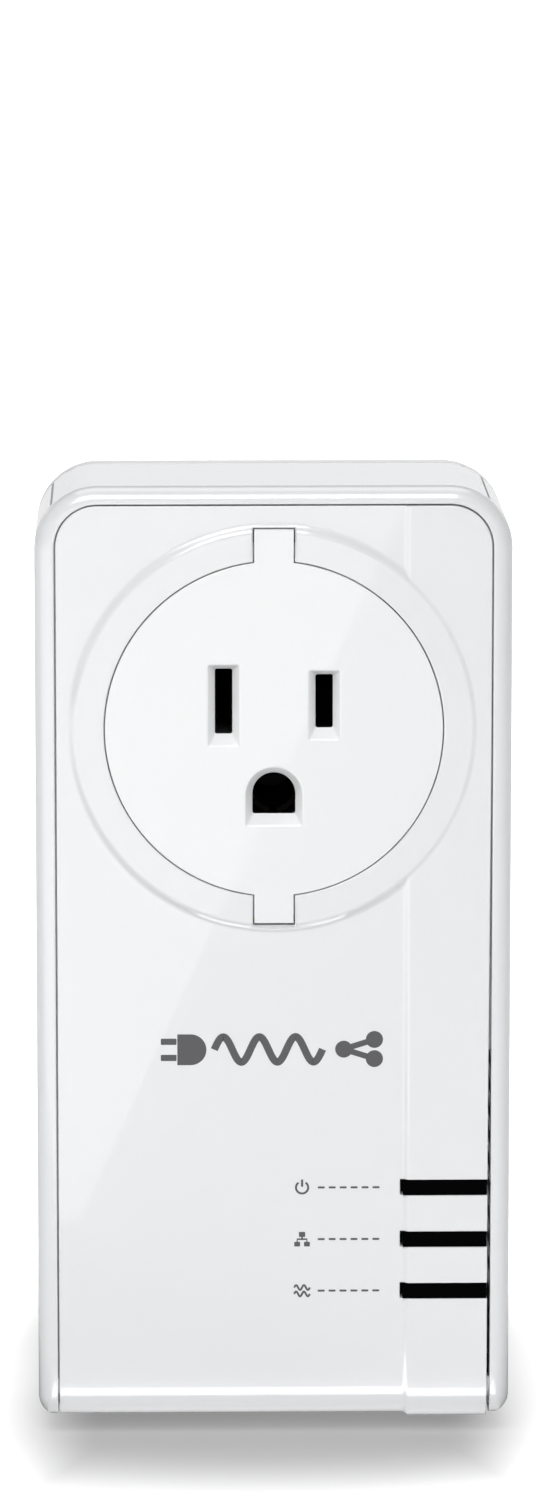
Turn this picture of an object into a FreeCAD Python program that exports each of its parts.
import FreeCAD, Part
import math
import os

# A powerline adapter with a pass-through grounded US outlet, built as separate pieces.
#
# Millimetres. The origin is on the flat face that meets the wall, midway between the two
# plug blades. +X is to the right seen from the front, +Y goes into the wall and +Z is up,
# so the front of the adapter faces -Y.

V = FreeCAD.Vector

# ---------------------------------------------------------------- driving dimensions
# Case, seen from the front
HALF_W = 30.2            # half of the width
TOP_Z = 14.65            # top face, above the blade line
BOTTOM_Z = -105.9        # bottom face
TOP_CORNER_R = 8.0
BOTTOM_CORNER_R = 2.8
RIM_R = 2.5              # rounding of the case's front rim
BOTTOM_EDGE_R = 3.6      # rounding where the front turns into the bottom
BACK_EDGE_R = 0.8
PANEL_Y = -28.4          # face of the front panel
STRIP_PROUD = 0.45       # raised strip on the right
BOSS_PROUD = 0.7         # raised round boss about the outlet
WALL = 2.0
SEAM_Y = -4.0            # joint between the case and the rear cover

# Front panel
PANEL_HALF = 27.5        # half of the panel's width
PANEL_TOP_Z = 12.3
PANEL_CORNER_R = 5.2
PANEL_GAP = 0.2
PANEL_TAPER = 0.2        # how much the gap on the right widens lower down
PANEL_T = 2.3
LEDGE_T = 1.5            # ledge behind the panel
LEDGE_W = 1.7
LIP_Y = -21.5            # where the panel ends underneath
STRIP_FOOT_X = 16.4
STRIP_TOP_X = 17.1
BOSS_FOOT_R = 26.25
BOSS_TOP_R = 25.55

# Outlet in the front
SLOT_Z = -12.6           # line of the two slots
SLOT_X = 6.35            # half of the 12.7 spacing
GROUND_DROP = 11.86      # ground hole below the slots, and ground pin below the blades
SLOT_W = 2.2
NEUTRAL_H = 8.3
LINE_H = 6.8
GROUND_R = 2.72
GROUND_FLAT = 2.55       # flat side of the ground hole, below its centre
RECESS_T = 1.3           # depth of the sloped recess round each opening
RECESS_SIDE = 0.88       # its run at the sides, above and below
RECESS_UP = 0.68
RECESS_DOWN = 1.42
POCKET = 0.9             # how much wider each opening gets behind its lip
POCKET_T = 0.35          # thickness of that lip
DISC_Z = -16.05          # centre of the outlet disc
DISC_R = 21.35
TAB_W = 5.0
TAB_TOP_Z = 9.4
TAB_BOTTOM_Z = -40.95
DISC_GAP = 0.15
DISC_T = 3.0
FLANGE_R = 23.6

# Plug at the back
BLADE_T = 1.52
BLADE_W = 6.35
BLADE_L = 17.5
BLADE_HOLE_R = 1.75
BLADE_HOLE_Y = 11.9
PIN_R = 2.38
PIN_L = 20.6
PIN_TAIL_R = 1.9         # thinner end inside the base, so the pin has a shoulder at the wall face
PIN_RELIEF_R = 2.6       # shallow groove in the base round the pin
PIN_RELIEF_T = 0.4
TAIL_Y = -9.4            # inner end of the blades and the pin
STRAP_T = 0.8

# Status windows, from the top down
WINDOW_NAMES = ("power", "ethernet", "powerline")
WINDOW_TOP_Z = -75.5
WINDOW_PITCH = 6.78
WINDOW_H = 2.05
WINDOW_X0 = 16.5
WINDOW_X1 = 27.25

# Circuit board, with its parts on the side that faces the front
BOARD_Y0 = -5.4
BOARD_Y1 = -3.8
BOARD_HALF = 26.3
BOARD_BOTTOM_Z = -102.0
BOARD_TOP_Z = -34.0

# Network jack, opening downwards
JACK_X = -11.0
JACK_W = 16.0
JACK_DEPTH_Y = 13.5
JACK_MOUTH_Z = -105.6
JACK_L = 21.3
SHIELD_T = 0.3

# Pair button and reset switch, both in the bottom
PAIR_X = 8.0
PAIR_Y = -11.0
RESET_X = 17.0
RESET_Y = -9.0
SWITCH_W = 6.0
SWITCH_BOTTOM_Z = -100.5
SWITCH_H = 4.0

# Case screws and board screws
CASE_SCREWS = ((-25.2, 7.0), (25.2, 7.0), (-25.2, -98.0), (25.2, -98.0))
BOARD_SCREWS = ((-22.5, -37.5), (22.5, -37.5), (-22.8, -81.0))
CARRIER_SCREWS = ((-18.6, -16.0), (18.6, -16.0))
POST_R = 3.3
SCREW_R = 1.1
SCREW_CLEAR = 0.02

# Worked out from the above
INNER_HALF = HALF_W - WALL
INNER_TOP_Z = TOP_Z - WALL
INNER_BOTTOM_Z = BOTTOM_Z + WALL
LEDGE_Y = PANEL_Y + PANEL_T
CAVITY_Y = LEDGE_Y + LEDGE_T
REAR_PLATE_T = 2.2
FACE_Y = PANEL_Y - BOSS_PROUD
FLANGE_Y = FACE_Y + DISC_T
STRAP_Y0 = TAIL_Y - STRAP_T
GROUND_Z = SLOT_Z - GROUND_DROP
FAR = 200.0


# ---------------------------------------------------------------- shapes
def box(x0, x1, y0, y1, z0, z1):
    """A block between two corners."""
    return Part.makeBox(x1 - x0, y1 - y0, z1 - z0, V(x0, y0, z0))


def centred(x, z, w, h, y0, y1):
    """A block centred on x and z."""
    return box(x - w / 2, x + w / 2, y0, y1, z - h / 2, z + h / 2)


def cyl_y(x, z, r, y0, y1):
    """A cylinder along Y."""
    return Part.makeCylinder(r, y1 - y0, V(x, y0, z), V(0, 1, 0))


def cyl_z(x, y, r, z0, z1):
    """A cylinder along Z."""
    return Part.makeCylinder(r, z1 - z0, V(x, y, z0), V(0, 0, 1))


def fused(shapes):
    """One solid from several that touch."""
    first, rest = shapes[0], shapes[1:]
    return (first.multiFuse(rest) if rest else first).removeSplitter()


def group(shapes):
    """Separate solids kept together in one node."""
    return Part.makeCompound(shapes)


def rounded(x0, x1, z0, z1, r_top, r_bottom, y0, y1):
    """A prism along Y with rounded top and bottom corners."""
    s = math.sqrt(0.5)
    t, b = r_top, r_bottom
    edges = [
        Part.LineSegment(V(x0, y0, z0 + b), V(x0, y0, z1 - t)),
        Part.Arc(V(x0, y0, z1 - t), V(x0 + t - t * s, y0, z1 - t + t * s), V(x0 + t, y0, z1)),
        Part.LineSegment(V(x0 + t, y0, z1), V(x1 - t, y0, z1)),
        Part.Arc(V(x1 - t, y0, z1), V(x1 - t + t * s, y0, z1 - t + t * s), V(x1, y0, z1 - t)),
        Part.LineSegment(V(x1, y0, z1 - t), V(x1, y0, z0 + b)),
        Part.Arc(V(x1, y0, z0 + b), V(x1 - b + b * s, y0, z0 + b - b * s), V(x1 - b, y0, z0)),
        Part.LineSegment(V(x1 - b, y0, z0), V(x0 + b, y0, z0)),
        Part.Arc(V(x0 + b, y0, z0), V(x0 + b - b * s, y0, z0 + b - b * s), V(x0, y0, z0 + b)),
    ]
    wire = Part.Wire([e.toShape() for e in edges])
    return Part.Face(wire).extrude(V(0, y1 - y0, 0))


def stadium_z(x, y, w, d, z0, z1):
    """A prism along Z with round ends, w long in X and d wide in Y."""
    half = (w - d) / 2
    return fused([
        box(x - half, x + half, y - d / 2, y + d / 2, z0, z1),
        cyl_z(x - half, y, d / 2, z0, z1),
        cyl_z(x + half, y, d / 2, z0, z1),
    ])


def edges_at(shape, y):
    """The edges that lie wholly at one depth."""
    return [e for e in shape.Edges if all(abs(v.Y - y) < 1e-6 for v in e.Vertexes)]


def bottom_profile(x, grow):
    """The case's side outline at x, grown outwards by grow at the front and the bottom."""
    y0 = PANEL_Y - grow
    z0 = BOTTOM_Z - grow
    r = BOTTOM_EDGE_R + grow
    s = r * math.sqrt(0.5)
    edges = [
        Part.LineSegment(V(x, y0, PANEL_TOP_Z), V(x, y0, z0 + r)),
        Part.Arc(V(x, y0, z0 + r), V(x, y0 + r - s, z0 + r - s), V(x, y0 + r, z0)),
        Part.LineSegment(V(x, y0 + r, z0), V(x, LIP_Y, z0)),
        Part.LineSegment(V(x, LIP_Y, z0), V(x, LIP_Y, PANEL_TOP_Z)),
        Part.LineSegment(V(x, LIP_Y, PANEL_TOP_Z), V(x, y0, PANEL_TOP_Z)),
    ]
    return Part.Wire([e.toShape() for e in edges])


def outer_form():
    """The case's whole outer form, with its rounded rim and bottom edge."""
    prism = rounded(-HALF_W, HALF_W, BOTTOM_Z, TOP_Z, TOP_CORNER_R, BOTTOM_CORNER_R, PANEL_Y, 0)
    prism = prism.makeFillet(RIM_R, edges_at(prism, PANEL_Y))
    prism = prism.makeFillet(BACK_EDGE_R, edges_at(prism, 0))
    r = BOTTOM_EDGE_R
    corner = box(-FAR, FAR, PANEL_Y - 1, PANEL_Y + r, BOTTOM_Z - 1, BOTTOM_Z + r)
    round_part = Part.makeCylinder(r, 2 * FAR, V(-FAR, PANEL_Y + r, BOTTOM_Z + r), V(1, 0, 0))
    return prism.cut(corner.cut(round_part))


def window_z(index):
    """Height of a status window's middle."""
    return WINDOW_TOP_Z - WINDOW_PITCH * index


def front_wire(x, z, w, h, y):
    """A rectangle's wire at depth y, centred on x and z."""
    corners = ((-1, -1), (1, -1), (1, 1), (-1, 1), (-1, -1))
    return Part.makePolygon([V(x + i * w / 2, y, z + k * h / 2) for i, k in corners])


def slot_hole(x, h):
    """A blade slot with its sloped recess in the outlet's face and a pocket behind its lip."""
    grown = h + RECESS_UP + RECESS_DOWN
    lift = (RECESS_UP - RECESS_DOWN) / 2
    wide = front_wire(x, SLOT_Z + lift, SLOT_W + 2 * RECESS_SIDE, grown, FACE_Y)
    narrow = front_wire(x, SLOT_Z, SLOT_W, h, FACE_Y + RECESS_T)
    behind = FACE_Y + RECESS_T + POCKET_T
    pocket = centred(x, SLOT_Z, SLOT_W + 2 * POCKET, h + 2 * POCKET, behind, 0)
    slot = centred(x, SLOT_Z, SLOT_W, h, FACE_Y, 0)
    return fused([Part.makeLoft([wide, narrow], True, True), slot, pocket])


def ground_wire(y, side, down):
    """The ground hole's outline: round at the top, flat at the bottom."""
    r = GROUND_R + side
    flat = GROUND_Z - GROUND_FLAT - down
    edges = [
        Part.Arc(V(-r, y, GROUND_Z), V(0, y, GROUND_Z + r), V(r, y, GROUND_Z)),
        Part.LineSegment(V(r, y, GROUND_Z), V(r, y, flat)),
        Part.LineSegment(V(r, y, flat), V(-r, y, flat)),
        Part.LineSegment(V(-r, y, flat), V(-r, y, GROUND_Z)),
    ]
    return Part.Wire([e.toShape() for e in edges])


def ground_hole():
    """The ground pin's hole, with the same recess and pocket."""
    floor = FACE_Y + RECESS_T
    wires = [ground_wire(FACE_Y, RECESS_SIDE, RECESS_DOWN), ground_wire(floor, 0, 0)]
    well = Part.Face(ground_wire(FACE_Y, 0, 0)).extrude(V(0, 10, 0))
    pocket = Part.Face(ground_wire(floor + POCKET_T, POCKET, POCKET)).extrude(V(0, 10, 0))
    return fused([Part.makeLoft(wires, True, True), well, pocket])


# ---------------------------------------------------------------- case
def housing_shell():
    """The glossy case: sides, top, front rim and most of the bottom."""
    gap_half = PANEL_HALF + PANEL_GAP
    gap_top = PANEL_TOP_Z + PANEL_GAP
    gap_r = PANEL_CORNER_R + PANEL_GAP
    lip_top = BOTTOM_Z + PANEL_T
    body = outer_form().common(box(-FAR, FAR, -FAR, SEAM_Y, -FAR, FAR))
    body = body.cut(rounded(-gap_half, gap_half, -FAR, gap_top, gap_r, 1, -FAR, LEDGE_Y))
    body = body.cut(box(-gap_half, gap_half, -FAR, LIP_Y + PANEL_GAP, -FAR, lip_top))
    ledge_half = gap_half - LEDGE_W
    ledge_r = gap_r - LEDGE_W
    shelf_top = lip_top + LEDGE_T
    body = body.cut(
        rounded(-ledge_half, ledge_half, shelf_top, gap_top - LEDGE_W, ledge_r, 1, -FAR, CAVITY_Y)
    )
    inner_r = TOP_CORNER_R - WALL
    body = body.cut(
        rounded(-INNER_HALF, INNER_HALF, INNER_BOTTOM_Z, INNER_TOP_Z, inner_r, 1, CAVITY_Y, 0)
    )
    web_y = LIP_Y + PANEL_GAP
    shelf = box(-INNER_HALF, INNER_HALF, LEDGE_Y, web_y + LEDGE_T, lip_top, shelf_top)
    web = box(-INNER_HALF, INNER_HALF, web_y, web_y + LEDGE_T, INNER_BOTTOM_Z, shelf_top)
    posts = [cyl_y(x, z, POST_R, CAVITY_Y, SEAM_Y) for x, z in CASE_SCREWS]
    body = fused([body, shelf, web] + posts)
    for x, z in CASE_SCREWS:
        body = body.cut(cyl_y(x, z, SCREW_R + SCREW_CLEAR, SEAM_Y - 12, 0))
    return body.cut(group(bottom_cuts() + side_vents()))


def bottom_cuts():
    """Openings in the bottom for the jack, the pair button and the reset pin."""
    play = 0.15
    half = JACK_W / 2 + play
    front = BOARD_Y0 - JACK_DEPTH_Y - play
    jack = box(JACK_X - half, JACK_X + half, front, BOARD_Y0 + play, -FAR, INNER_BOTTOM_Z + 1)
    button = stadium_z(PAIR_X, PAIR_Y, 9.4, 4.6, BOTTOM_Z - 1, INNER_BOTTOM_Z + 1)
    pinhole = cyl_z(RESET_X, RESET_Y, 0.9, BOTTOM_Z - 1, INNER_BOTTOM_Z + 1)
    dish = Part.makeCone(1.9, 0.9, 0.6, V(RESET_X, RESET_Y, BOTTOM_Z - 0.01), V(0, 0, 1))
    return [jack, button, pinhole, dish]


def side_vents():
    """Cooling slots low down in both sides."""
    vents = []
    for index in range(10):
        z = -60.0 - 3.4 * index
        for side in (-1, 1):
            x0, x1 = sorted((side * (HALF_W + 1), side * (INNER_HALF - 0.1)))
            slot = box(x0, x1, -18.0, -10.0, z - 0.75, z + 0.75)
            ends = [
                Part.makeCylinder(0.75, x1 - x0, V(x0, y, z), V(1, 0, 0)) for y in (-18.0, -10.0)
            ]
            vents.append(fused([slot] + ends))
    return vents


def front_panel():
    """The front panel, which wraps round the bottom edge, with its boss and its strip."""
    region = rounded(-PANEL_HALF, PANEL_HALF, -FAR, PANEL_TOP_Z, PANEL_CORNER_R, 1, -FAR, FAR)
    plate = box(-FAR, FAR, -FAR, LEDGE_Y, -FAR, FAR)
    lip = box(-FAR, FAR, -FAR, LIP_Y, -FAR, BOTTOM_Z + PANEL_T)
    skin = outer_form().common(region).common(plate.fuse(lip))
    solid = fused([skin, strip_form(), boss_form()])
    cuts = [disc_form(DISC_GAP, -FAR, FAR), edge_taper()]
    half_h = WINDOW_H / 2
    for index in range(len(WINDOW_NAMES)):
        z = window_z(index)
        cuts.append(box(WINDOW_X0 - 0.05, FAR, -FAR, LEDGE_Y + 0.01, z - half_h, z + half_h))
    solid = solid.cut(group(cuts))
    return fused([solid] + panel_hooks())


def edge_taper():
    """The wedge left out at the panel's right edge, where its gap widens."""
    edge = PANEL_HALF - PANEL_TAPER
    corners = [(PANEL_HALF, -20), (edge, -66), (edge, -FAR), (FAR, -FAR), (FAR, -20), (PANEL_HALF, -20)]
    wire = Part.makePolygon([V(x, -FAR, z) for x, z in corners])
    return Part.Face(wire).extrude(V(0, 2 * FAR, 0))


def strip_form():
    """The raised strip: a sloped left edge, then flat to the panel's right edge."""
    foot = bottom_profile(STRIP_FOOT_X, 0)
    crest = bottom_profile(STRIP_TOP_X, STRIP_PROUD)
    end = bottom_profile(PANEL_HALF, STRIP_PROUD)
    form = Part.makeLoft([foot, crest], True, True).fuse(Part.makeLoft([crest, end], True, True))
    keep = rounded(-PANEL_HALF, PANEL_HALF, -FAR, PANEL_TOP_Z, PANEL_CORNER_R, 1, -FAR, FAR)
    inner = box(-FAR, FAR, LEDGE_Y, FAR, BOTTOM_Z + PANEL_T, FAR)
    return form.common(keep).cut(inner)


def boss_form():
    """The raised round boss about the outlet, with a sloped edge."""
    cone = Part.makeCone(BOSS_FOOT_R, BOSS_TOP_R, BOSS_PROUD, V(0, PANEL_Y, DISC_Z), V(0, -1, 0))
    return cone.fuse(cyl_y(0, DISC_Z, BOSS_FOOT_R, PANEL_Y, LEDGE_Y))


def panel_hooks():
    """Snap hooks behind the panel, which catch behind the case's ledge."""
    hooks = []
    root = PANEL_HALF + PANEL_GAP - LEDGE_W - 0.2
    for z in (-50.0, -68.0, -91.0):
        for side in (-1, 1):
            arm = sorted((side * (root - 1.2), side * root))
            barb = sorted((side * (root - 1.2), side * (root + 0.9)))
            hooks.append(box(arm[0], arm[1], LEDGE_Y - 0.01, CAVITY_Y + 1.6, z - 2.5, z + 2.5))
            hooks.append(box(barb[0], barb[1], CAVITY_Y + 0.2, CAVITY_Y + 1.6, z - 2.5, z + 2.5))
    return hooks


def disc_form(grow, y0, y1):
    """The outlet disc's outline with its two tabs, grown by grow."""
    half = TAB_W / 2 + grow
    disc = cyl_y(0, DISC_Z, DISC_R + grow, y0, y1)
    tabs = box(-half, half, y0, y1, TAB_BOTTOM_Z - grow, TAB_TOP_Z + grow)
    return disc.fuse(tabs).removeSplitter()


def rear_cover():
    """The rear cover: the wall face, its rim, the locating lip and the screw pads."""
    plate_y = -REAR_PLATE_T
    inner_r = TOP_CORNER_R - WALL
    shell = outer_form().common(box(-FAR, FAR, SEAM_Y, FAR, -FAR, FAR))
    room = rounded(-INNER_HALF, INNER_HALF, INNER_BOTTOM_Z, INNER_TOP_Z, inner_r, 1, SEAM_Y - 1, plate_y)
    shell = shell.cut(room)
    play = 0.1
    lip = rounded(
        -INNER_HALF + play, INNER_HALF - play, INNER_BOTTOM_Z + play, INNER_TOP_Z - play,
        inner_r - play, 0.9, SEAM_Y - 1.2, plate_y,
    )
    lip = lip.cut(
        rounded(
            -INNER_HALF + 1.1, INNER_HALF - 1.1, INNER_BOTTOM_Z + 1.1, INNER_TOP_Z - 1.1,
            inner_r - 1.1, 0.5, -FAR, 0,
        )
    )
    jack_half = JACK_W / 2 + 1
    lip = lip.cut(box(JACK_X - jack_half, JACK_X + jack_half, -FAR, 0, -FAR, INNER_BOTTOM_Z + 3))
    pads = []
    for x, z in CASE_SCREWS:
        lip = lip.cut(cyl_y(x, z, POST_R + 0.2, -FAR, SEAM_Y))
        pads.append(cyl_y(x, z, POST_R, SEAM_Y, plate_y))
    stands = [cyl_y(x, z, 2.4, BOARD_Y1, plate_y) for x, z in BOARD_SCREWS]
    cover = fused([shell, lip] + pads + stands)
    cuts = [plug_outline(0.1, -FAR, FAR), label_form()]
    for x, z in CASE_SCREWS:
        cuts.append(cyl_y(x, z, 2.6, -1.9, 1))
        cuts.append(cyl_y(x, z, SCREW_R + 0.15, -FAR, 0))
    for x, z in BOARD_SCREWS:
        cuts.append(cyl_y(x, z, 0.9 + SCREW_CLEAR, -FAR, -1.0))
    return cover.cut(group(cuts))


def rating_label():
    """A blank label sunk flush in the rear cover."""
    return label_form()


def label_form():
    return rounded(-19.0, 19.0, -92.0, -52.0, 1.5, 1.5, -0.15, 0)


def case_screws():
    """Four screws that hold the rear cover to the case."""
    return group([screw(x, z, -1.9, 2.4, 1.5, SCREW_R, -14.0) for x, z in CASE_SCREWS])


def board_screws():
    """Three screws that hold the circuit board to the rear cover, put in from the front."""
    screws = []
    for x, z in BOARD_SCREWS:
        head = cyl_y(x, z, 1.9, BOARD_Y0 - 1.4, BOARD_Y0)
        drive = cross(x, z, BOARD_Y0 - 1.4, BOARD_Y0 - 0.7)
        screws.append(fused([head, cyl_y(x, z, 0.9, BOARD_Y0, -1.2)]).cut(drive))
    return group(screws)


def screw(x, z, seat_y, head_r, head_t, shaft_r, end_y):
    """A cross-head screw whose head is at seat_y and faces +Y."""
    head = cyl_y(x, z, head_r, seat_y, seat_y + head_t)
    top = seat_y + head_t
    return fused([head, cyl_y(x, z, shaft_r, end_y, seat_y)]).cut(cross(x, z, top - 0.8, top))


def cross(x, z, y0, y1):
    """The cross slot of a screw head."""
    return centred(x, z, 2.4, 0.6, y0, y1).fuse(centred(x, z, 0.6, 2.4, y0, y1))


# ---------------------------------------------------------------- plug at the back
def plug_outline(grow, y0, y1):
    return rounded(-13.5 - grow, 13.5 + grow, -18.6 - grow, 7.6 + grow, 5 + grow, 11 + grow, y0, y1)


def plug_base():
    """The moulded base that holds the blades and the ground pin."""
    block = plug_outline(0, -8.0, 0)
    flange = plug_outline(1.4, -3.6, -REAR_PLATE_T)
    body = fused([block, flange])
    holes = [
        blade_hole(-SLOT_X),
        blade_hole(SLOT_X),
        cyl_y(0, -GROUND_DROP, PIN_TAIL_R, -FAR, FAR),
        cyl_y(0, -GROUND_DROP, PIN_RELIEF_R, -PIN_RELIEF_T, FAR),
    ]
    for hole in holes:
        body = body.cut(hole)
    return body


def blade_hole(x):
    return centred(x, 0, BLADE_T, BLADE_W, -FAR, FAR)


def blade(x):
    """A flat plug blade with a tapered tip and a round hole."""
    body = centred(x, 0, BLADE_T, BLADE_W, TAIL_Y, BLADE_L)
    body = body.makeChamfer(0.5, edges_at(body, BLADE_L))
    hole = Part.makeCylinder(BLADE_HOLE_R, 10, V(x - 5, BLADE_HOLE_Y, 0), V(1, 0, 0))
    return body.cut(hole)


def neutral_blade():
    return blade(-SLOT_X)


def line_blade():
    return blade(SLOT_X)


def ground_pin():
    """The round ground pin, longer than the blades, with a rounded nose."""
    pin = cyl_y(0, -GROUND_DROP, PIN_R, 0, PIN_L)
    pin = pin.makeFillet(1.7, edges_at(pin, PIN_L))
    return pin.fuse(cyl_y(0, -GROUND_DROP, PIN_TAIL_R, TAIL_Y, 0))


# ---------------------------------------------------------------- outlet
def outlet_insert():
    """The round outlet face with its two tabs, its openings and a flange behind the panel."""
    face = disc_form(0, FACE_Y, FLANGE_Y)
    flange = cyl_y(0, DISC_Z, FLANGE_R, FLANGE_Y, CAVITY_Y)
    body = fused([face, flange])
    cuts = [slot_hole(-SLOT_X, NEUTRAL_H), slot_hole(SLOT_X, LINE_H), ground_hole()]
    cuts += [cyl_y(x, z, 1.0 + SCREW_CLEAR, FLANGE_Y - 1.6, 0) for x, z in CARRIER_SCREWS]
    return body.cut(group(cuts))


def contact_carrier():
    """The block behind the outlet face, with a pocket for each contact."""
    block = rounded(-14.0, 14.0, -31.0, -5.5, 3, 5, CAVITY_Y, -11.0)
    boss = cyl_y(0, GROUND_Z, 4.9, -11.0, -6.4)
    ears = box(-21.6, 21.6, CAVITY_Y, CAVITY_Y + 3.0, -19.0, -13.0)
    body = fused([block, boss, ears])
    cuts = [
        centred(-SLOT_X, SLOT_Z, 4.4, 9.2, CAVITY_Y, -11.0),
        centred(SLOT_X, SLOT_Z, 4.4, 9.2, CAVITY_Y, -11.0),
        cyl_y(0, GROUND_Z, 3.9, CAVITY_Y, -7.4),
        box(-2.2, 2.2, STRAP_Y0 - 0.2, TAIL_Y + 0.2, GROUND_Z, 0),
    ]
    cuts += [cyl_y(x, z, 1.1, -FAR, 0) for x, z in CARRIER_SCREWS]
    return body.cut(group(cuts))


def carrier_screws():
    """Two screws that hold the carrier to the outlet face."""
    seat = CAVITY_Y + 3.0
    return group([screw(x, z, seat, 2.0, 1.3, 1.0, FLANGE_Y - 1.5) for x, z in CARRIER_SCREWS])


def blade_contact(side):
    """Two spring leaves that grip a blade, on a base plate."""
    x = side * SLOT_X
    leaves = [
        centred(x + offset, SLOT_Z, 0.6, 6.4, CAVITY_Y + 1.2, -11.0) for offset in (-1.15, 1.15)
    ]
    flares = []
    for sign in (-1, 1):
        root = x + sign * 1.15
        profile = Part.makePolygon([
            V(root - 0.3, CAVITY_Y + 1.2, SLOT_Z - 3.2),
            V(root + 0.3, CAVITY_Y + 1.2, SLOT_Z - 3.2),
            V(root + 0.3 + sign * 0.5, CAVITY_Y + 0.3, SLOT_Z - 3.2),
            V(root - 0.3 + sign * 0.5, CAVITY_Y + 0.3, SLOT_Z - 3.2),
            V(root - 0.3, CAVITY_Y + 1.2, SLOT_Z - 3.2),
        ])
        flares.append(Part.Face(profile).extrude(V(0, 0, 6.4)))
    base = box(x - 2.2, x + 2.2, -11.0, STRAP_Y0, SLOT_Z - 3.2, SLOT_Z + 3.2)
    return fused(leaves + flares + [base])


def neutral_contact():
    return blade_contact(-1)


def line_contact():
    return blade_contact(1)


def ground_contact():
    """A slit tube that grips a ground pin."""
    tube = cyl_y(0, GROUND_Z, 3.1, CAVITY_Y + 0.5, -7.6).cut(cyl_y(0, GROUND_Z, 2.55, -FAR, FAR))
    return tube.cut(box(-0.5, 0.5, CAVITY_Y, -12.0, GROUND_Z - 4, GROUND_Z))


def strap(side):
    """A brass strap from a blade past its contact and down to the circuit board."""
    x0, x1 = sorted((side * 5.0, side * 10.4))
    run = box(x0, x1, STRAP_Y0, TAIL_Y, -36.0, 3.2)
    foot = box(x0, x1, STRAP_Y0, BOARD_Y0, -36.8, -36.0)
    return fused([run, foot])


def neutral_strap():
    return strap(-1)


def line_strap():
    return strap(1)


def ground_strap():
    """A strap from the ground pin to the ground contact."""
    run = box(-2.0, 2.0, STRAP_Y0, TAIL_Y, GROUND_Z, -9.2)
    return run.cut(cyl_y(0, GROUND_Z, 3.1, -FAR, FAR))


# ---------------------------------------------------------------- status lights
def window(index):
    """A smoked window, flush in the raised strip."""
    z = window_z(index)
    front = PANEL_Y - STRIP_PROUD + 0.1
    half = WINDOW_H / 2 - 0.02
    bar = box(WINDOW_X0, WINDOW_X1, front, front + 1.3, z - half, z + half)
    slope = Part.makePolygon([
        V(WINDOW_X0 - 1, PANEL_Y + 0.1, z - 2),
        V(STRIP_FOOT_X, PANEL_Y + 0.1, z - 2),
        V(STRIP_TOP_X, front, z - 2),
        V(STRIP_TOP_X, front - 2, z - 2),
        V(WINDOW_X0 - 1, front - 2, z - 2),
        V(WINDOW_X0 - 1, PANEL_Y + 0.1, z - 2),
    ])
    return bar.cut(Part.Face(slope).extrude(V(0, 0, 4)))


def status_led(index):
    """A surface-mounted status light on the board."""
    z = window_z(index)
    base = centred(21.8, z, 2.0, 1.25, BOARD_Y0 - 0.5, BOARD_Y0)
    dome = centred(21.8, z, 1.3, 0.9, BOARD_Y0 - 0.9, BOARD_Y0 - 0.5)
    return fused([base, dome])


def light_guide():
    """Three clear bars that carry the light from the board to the windows, joined by a bridge."""
    start = BOARD_Y0 - 1.2
    end = PANEL_Y - STRIP_PROUD + 1.4
    bars = [box(19.3, 24.3, end, start, window_z(i) - 0.9, window_z(i) + 0.9) for i in range(3)]
    bridge = box(24.3, 25.6, -16.0, -13.0, window_z(2) - 0.9, window_z(0) + 0.9)
    return fused(bars + [bridge])


# ---------------------------------------------------------------- network jack and switches
def jack_block(inset, z0, z1):
    half = JACK_W / 2 - inset
    return box(JACK_X - half, JACK_X + half, BOARD_Y0 - JACK_DEPTH_Y + inset, BOARD_Y0 - inset, z0, z1)


def jack_shield():
    """The jack's folded metal shield, open underneath."""
    top = JACK_MOUTH_Z + JACK_L
    shell = jack_block(0, JACK_MOUTH_Z, top)
    return shell.cut(jack_block(SHIELD_T, JACK_MOUTH_Z - 1, top - SHIELD_T))


def jack_body():
    """The jack's moulded body with the opening for a network plug and its latch."""
    top = JACK_MOUTH_Z + JACK_L - SHIELD_T
    block = jack_block(SHIELD_T, JACK_MOUTH_Z + 0.2, top)
    plug = box(JACK_X - 5.9, JACK_X + 5.9, -15.3, -8.3, -FAR, JACK_MOUTH_Z + 13.0)
    latch = box(JACK_X - 3.1, JACK_X + 3.1, -17.1, -15.3, -FAR, JACK_MOUTH_Z + 9.0)
    return block.cut(plug.fuse(latch))


def jack_contacts():
    """Eight sprung contact wires in the jack."""
    wires = []
    z0 = JACK_MOUTH_Z + 2.5
    z1 = JACK_MOUTH_Z + 12.9
    for index in range(8):
        x = JACK_X + 1.02 * (index - 3.5)
        profile = Part.makePolygon([
            V(x - 0.22, -8.35, z0),
            V(x - 0.22, -8.8, z0),
            V(x - 0.22, -10.2, z1 - 2.0),
            V(x - 0.22, -10.2, z1),
            V(x - 0.22, -9.75, z1),
            V(x - 0.22, -9.75, z1 - 2.1),
            V(x - 0.22, -8.35, z0),
        ])
        wires.append(Part.Face(profile).extrude(V(0.44, 0, 0)))
    return group(wires)


def pair_button():
    """The oblong pair button, with a flange that keeps it in the case."""
    cap = stadium_z(PAIR_X, PAIR_Y, 9.0, 4.2, BOTTOM_Z - 0.4, -102.9)
    low = BOTTOM_Z - 0.4
    rim = [e for e in cap.Edges if all(abs(v.Z - low) < 1e-6 for v in e.Vertexes)]
    cap = cap.makeFillet(0.35, rim)
    flange = stadium_z(PAIR_X, PAIR_Y, 10.8, 6.0, INNER_BOTTOM_Z + 0.2, -102.9)
    return fused([cap, flange])


def switch_body(x, y, hole_r):
    """A small push switch on the board, with the bore that its plunger slides in."""
    z0 = SWITCH_BOTTOM_Z
    body = box(x - SWITCH_W / 2, x + SWITCH_W / 2, y - 3.0, BOARD_Y0, z0, z0 + SWITCH_H)
    return body.cut(cyl_z(x, y, hole_r, z0 - 1, z0 + 1.4))


def pair_switch():
    return switch_body(PAIR_X, PAIR_Y, 1.7)


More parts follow.
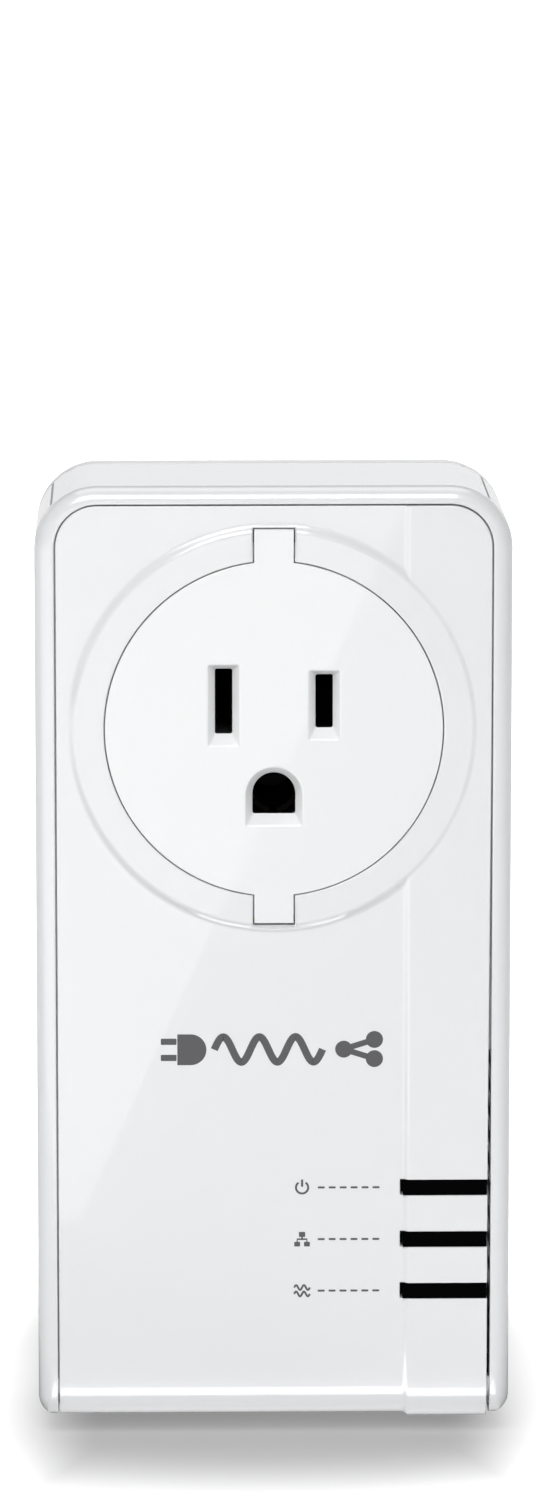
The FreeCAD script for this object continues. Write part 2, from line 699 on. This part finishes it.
def pair_plunger():
    return cyl_z(PAIR_X, PAIR_Y, 1.6, -102.9, SWITCH_BOTTOM_Z + 0.5)


def reset_switch():
    return switch_body(RESET_X, RESET_Y, 1.3)


def reset_plunger():
    return cyl_z(RESET_X, RESET_Y, 1.2, SWITCH_BOTTOM_Z - 1.5, SWITCH_BOTTOM_Z + 0.5)


# ---------------------------------------------------------------- circuit board
def main_board():
    """The circuit board, notched round the case posts."""
    board = box(-BOARD_HALF, BOARD_HALF, BOARD_Y0, BOARD_Y1, BOARD_BOTTOM_Z, BOARD_TOP_Z)
    cuts = [cyl_y(x, z, POST_R + 0.3, -FAR, 0) for x, z in CASE_SCREWS]
    cuts += [cyl_y(x, z, 1.1, -FAR, 0) for x, z in BOARD_SCREWS]
    return board.cut(group(cuts))


def insulation_sheet():
    """A thin sheet that keeps the board's solder side off the rear cover."""
    return box(-19.5, 19.5, -3.0, -2.75, -94.0, -36.0)


def on_board(x, z, w, h, height, lift=0.0):
    """A block that stands on the board's front."""
    return centred(x, z, w, h, BOARD_Y0 - lift - height, BOARD_Y0 - lift)


def can(x, z, r, height):
    """A round can that stands on the board, with a pressed groove near its foot."""
    body = cyl_y(x, z, r, BOARD_Y0 - height, BOARD_Y0)
    ring = cyl_y(x, z, r + 1, BOARD_Y0 - 2.2, BOARD_Y0 - 1.5).cut(cyl_y(x, z, r - 0.4, -FAR, 0))
    return body.cut(ring)


def fuse():
    return cyl_y(-20.5, -45.6, 4.1, BOARD_Y0 - 8.0, BOARD_Y0)


def varistor():
    x = 21.0
    disc = Part.makeCylinder(5.3, 4.0, V(x, BOARD_Y0 - 6.6, -45.6), V(0, 0, 1))
    legs = [on_board(x + side * 2.6, -43.6, 0.8, 0.8, 4.0) for side in (-1, 1)]
    return fused([disc] + legs)


def safety_capacitor():
    return on_board(-6.2, -44.0, 13.0, 6.0, 11.5)


def common_mode_choke():
    """A ring core on a flat foot."""
    x = 9.0
    z = -45.6
    ring = cyl_y(x, z, 6.3, BOARD_Y0 - 9.0, BOARD_Y0 - 1.0).cut(cyl_y(x, z, 2.9, -FAR, 0))
    return fused([ring, on_board(x, z, 11.0, 11.0, 1.0)])


def bridge_rectifier():
    return on_board(20.4, -50.0, 6.5, 5.0, 2.4)


def bulk_capacitor_left():
    return can(9.8, -59.0, 5.0, 16.0)


def bulk_capacitor_right():
    return can(20.6, -59.6, 5.0, 16.0)


def transformer_core():
    """Two end plates and the yokes of the power transformer's ferrite core."""
    frame = on_board(-9.6, -58.0, 16.0, 13.0, 5.0, 4.5)
    return frame.cut(on_board(-9.6, -58.0, 10.0, 14.0, 5.2, 4.4))


def transformer_bobbin():
    """The bobbin and its taped winding, between the legs of the core."""
    foot = on_board(-9.6, -58.0, 16.0, 13.0, 2.2)
    middle = on_board(-9.6, -58.0, 9.8, 13.0, 12.6, 2.2)
    return fused([foot, middle])


def output_capacitor():
    return can(-22.4, -58.0, 3.1, 11.0)


def output_inductor():
    """A drum inductor: two flanges and a winding."""
    drum = cyl_y(-22.4, -66.2, 3.1, BOARD_Y0 - 5.0, BOARD_Y0)
    ring = cyl_y(-22.4, -66.2, 4.0, BOARD_Y0 - 4.0, BOARD_Y0 - 1.0).cut(
        cyl_y(-22.4, -66.2, 2.5, -FAR, 0)
    )
    return drum.cut(ring)


def coupling_transformer():
    return on_board(9.6, -71.6, 9.5, 9.5, 7.0)


def powerline_chip():
    return on_board(-6.5, -73.5, 12.0, 12.0, 1.2)


def heat_sink():
    """A finned heat sink on the powerline chip."""
    base = on_board(-6.5, -73.5, 12.6, 12.6, 1.2, 1.2)
    fins = [on_board(-11.9 + 1.8 * i, -73.5, 0.8, 12.6, 5.0, 2.4) for i in range(7)]
    return fused([base] + fins)


def memory_chip():
    return on_board(-20.6, -73.6, 6.0, 8.0, 1.1)


def clock_crystal():
    return on_board(2.2, -70.4, 2.6, 5.0, 1.2)


def lan_transformer():
    return on_board(5.2, -87.0, 7.0, 12.6, 3.4)


def power_controller():
    return on_board(13.2, -80.6, 5.0, 4.0, 1.6)


def y_capacitor():
    """A small disc capacitor on edge."""
    return Part.makeCylinder(2.9, 3.0, V(-22.9, BOARD_Y0 - 2.95, -90.0), V(0, 0, 1))


# ---------------------------------------------------------------- writing the pieces
PIECES = [
    housing_shell, front_panel, rear_cover, rating_label, case_screws, board_screws,
    plug_base, neutral_blade, line_blade, ground_pin,
    outlet_insert, contact_carrier, carrier_screws, neutral_contact, line_contact,
    ground_contact, neutral_strap, line_strap, ground_strap, light_guide,
    jack_shield, jack_body, jack_contacts, pair_button, pair_switch, pair_plunger,
    reset_switch, reset_plunger, main_board, insulation_sheet, fuse, varistor,
    safety_capacitor, common_mode_choke, bridge_rectifier, bulk_capacitor_left,
    bulk_capacitor_right, transformer_core, transformer_bobbin, output_capacitor,
    output_inductor, coupling_transformer, powerline_chip, heat_sink, memory_chip,
    clock_crystal, lan_transformer, power_controller, y_capacitor,
]


def save(name, shape):
    """Write one piece, after checking that it is sound."""
    if not shape.isValid() or not shape.Solids:
        raise RuntimeError(name + " is not a valid solid")
    print(name, len(shape.Solids), round(shape.Volume, 2))
    shape.exportStep("parts/" + name + ".step")


def main():
    os.makedirs("parts", exist_ok=True)
    for piece in PIECES:
        save(piece.__name__, piece())
    for index, name in enumerate(WINDOW_NAMES):
        save(name + "_window", window(index))
        save(name + "_led", status_led(index))


main()
